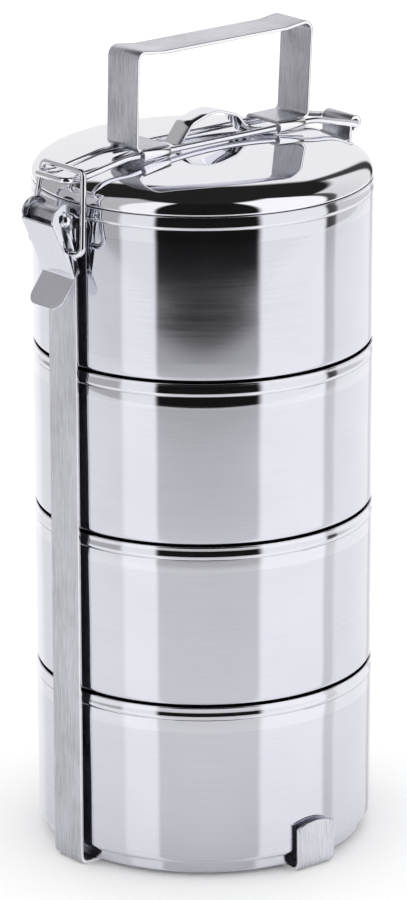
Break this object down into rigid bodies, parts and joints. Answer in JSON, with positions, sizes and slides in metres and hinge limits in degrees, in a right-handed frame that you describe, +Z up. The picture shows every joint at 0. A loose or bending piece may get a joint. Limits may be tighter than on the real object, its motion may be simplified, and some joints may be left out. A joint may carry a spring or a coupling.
{
  "type": "tiffin carrier",
  "caption": "Stacked round steel food containers with a domed lid, held in a strap frame by a hinged wire bow with a carrying handle and a side toggle latch.",
  "frame": {"origin": "on the stack's axis, at the underside of the main strap that carries it", "axes": "+Z up the stack, +X towards the bow's hinge and away from the latch, +Y across the main strap, along the cross strap"},
  "size_m": [0.1646, 0.1458, 0.3406],
  "materials": {
    "wall_steel": "polished, with faint turned lines",
    "lid_steel": "mirror polished",
    "strap_steel": "satin, brushed along its length",
    "wire_steel": "bright drawn wire",
    "latch_steel": "satin pressed sheet"
  },
  "bodies": {
    "frame": {"main_strap": "strap_steel", "cross_strap": "strap_steel", "latch_pin": "wire_steel"},
    "container_1": {"container_1": "wall_steel"},
    "container_2": {"container_2": "wall_steel"},
    "container_3": {"container_3": "wall_steel"},
    "container_4": {"container_4": "wall_steel"},
    "lid": {"lid": "lid_steel", "lid_lift_strap": "lid_steel"},
    "bow": {"bow_wire": "wire_steel", "handle_strap": "strap_steel"},
    "lever": {"latch_lever": "latch_steel"},
    "bail": {"latch_bail": "wire_steel"}
  },
  "joints": [
    {"name": "bow_hinge", "type": "hinge", "parent": "frame", "child": "bow", "pos_m": [0.07535, 0, 0.29265], "axis": [0, 1, 0], "range_deg": [0, 200]},
    {"name": "latch_lever", "type": "hinge", "parent": "frame", "child": "lever", "pos_m": [-0.0793, 0, 0.27825], "axis": [0, 1, 0], "range_deg": [0, 120]},
    {"name": "latch_bail", "type": "hinge", "parent": "lever", "child": "bail", "pos_m": [-0.0763, 0, 0.26425], "axis": [0, 1, 0], "range_deg": [-192, 0]},
    {"name": "container_1_lift", "type": "slide", "parent": "frame", "child": "container_1", "axis": [0, 0, 1], "range_m": [0, 0.00838]},
    {"name": "container_2_lift", "type": "slide", "parent": "frame", "child": "container_2", "axis": [0, 0, 1], "range_m": [0, 0.01676]},
    {"name": "container_3_lift", "type": "slide", "parent": "frame", "child": "container_3", "axis": [0, 0, 1], "range_m": [0, 0.02514]},
    {"name": "container_4_lift", "type": "slide", "parent": "frame", "child": "container_4", "axis": [0, 0, 1], "range_m": [0, 0.03352]},
    {"name": "lid_lift", "type": "slide", "parent": "frame", "child": "lid", "axis": [0, 0, 1], "range_m": [0, 0.0419]}
  ],
  "couplings": [
    {"joint": "latch_bail", "follows": "latch_lever", "ratio": -1.6},
    {"joint": "lid_lift", "follows": "bow_hinge", "m_per_rad": 0.012},
    {"joint": "container_1_lift", "follows": "bow_hinge", "m_per_rad": 0.0024},
    {"joint": "container_2_lift", "follows": "bow_hinge", "m_per_rad": 0.0048},
    {"joint": "container_3_lift", "follows": "bow_hinge", "m_per_rad": 0.0072},
    {"joint": "container_4_lift", "follows": "bow_hinge", "m_per_rad": 0.0096}
  ]
}
